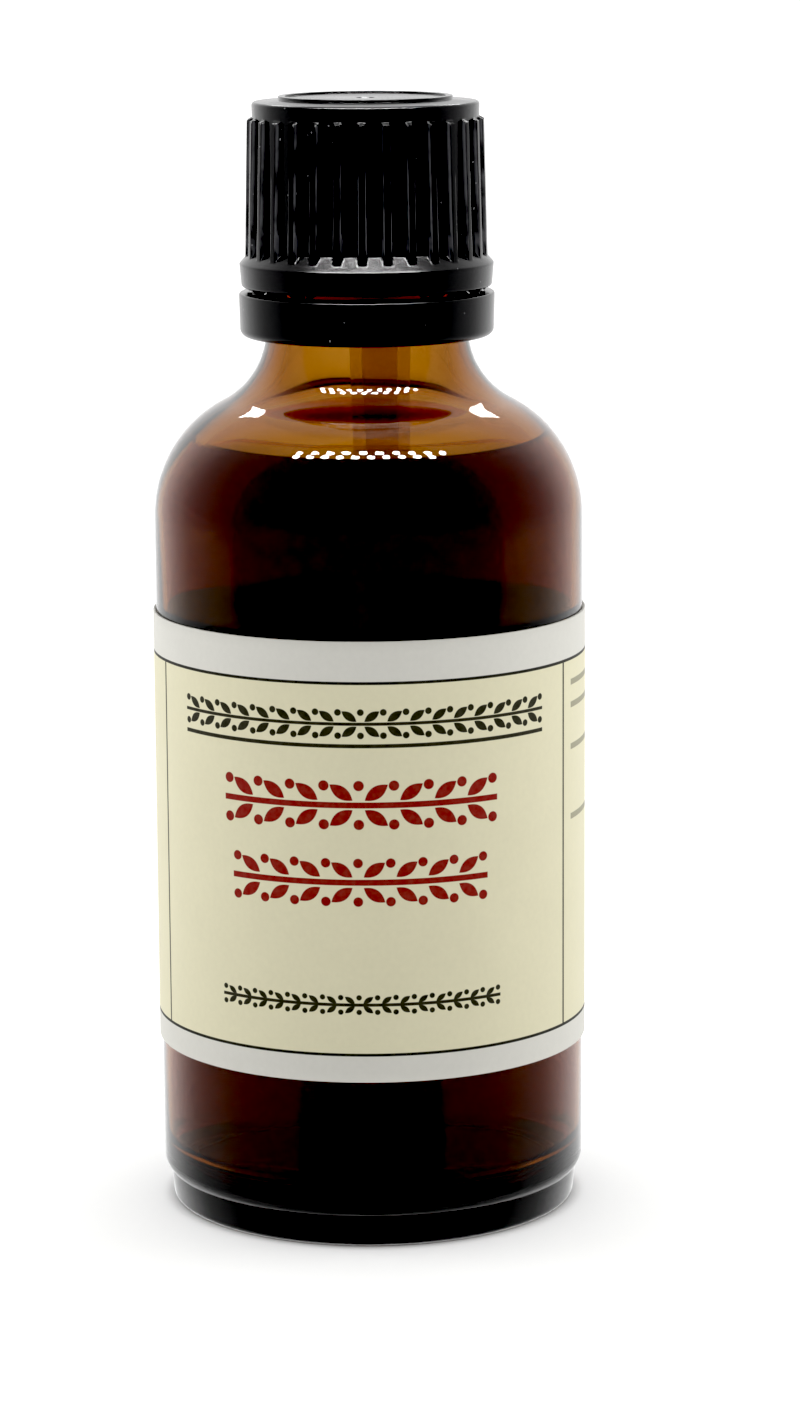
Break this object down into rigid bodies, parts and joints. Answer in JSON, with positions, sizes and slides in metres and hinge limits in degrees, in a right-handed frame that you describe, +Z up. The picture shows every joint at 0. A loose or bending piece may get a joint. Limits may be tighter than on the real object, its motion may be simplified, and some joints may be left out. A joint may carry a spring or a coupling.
{
  "type": "amber glass tincture bottle with screw cap",
  "caption": "Round amber glass tincture bottle, filled, with a wrap-round label, a dropper insert and a ribbed tamper-evident screw cap that unscrews.",
  "frame": {"origin": "centre of the bottle's foot, on the surface that it stands on", "axes": "+Z up along the bottle's axis, -Y towards the front of the label"},
  "size_m": [0.038, 0.038, 0.0978],
  "materials": {
    "amber_glass": "clear amber glass, smooth and glossy",
    "tincture": "dark red-brown liquid",
    "insert_plastic": "milky translucent moulded plastic",
    "label_paper": "cream paper, faintly satin",
    "black_plastic": "black moulded plastic, semi-gloss",
    "liner_foam": "white foamed sealing disc"
  },
  "bodies": {
    "vessel": {"bottle_glass": "amber_glass", "tincture": "tincture", "dropper_insert": "insert_plastic", "label": "label_paper", "tamper_band": "black_plastic"},
    "seal": {"liner": "liner_foam"},
    "closure": {"cap": "black_plastic"}
  },
  "joints": [
    {"name": "cap_lift", "type": "slide", "parent": "vessel", "child": "seal", "axis": [0, 0, 1], "range_m": [0, 0.0045]},
    {"name": "cap_turn", "type": "hinge", "parent": "seal", "child": "closure", "pos_m": [0, 0, 0.0895], "axis": [0, 0, 1], "range_deg": [0, 540]}
  ],
  "couplings": [
    {"joint": "cap_lift", "follows": "cap_turn", "m_per_rad": 0.00047746}
  ]
}
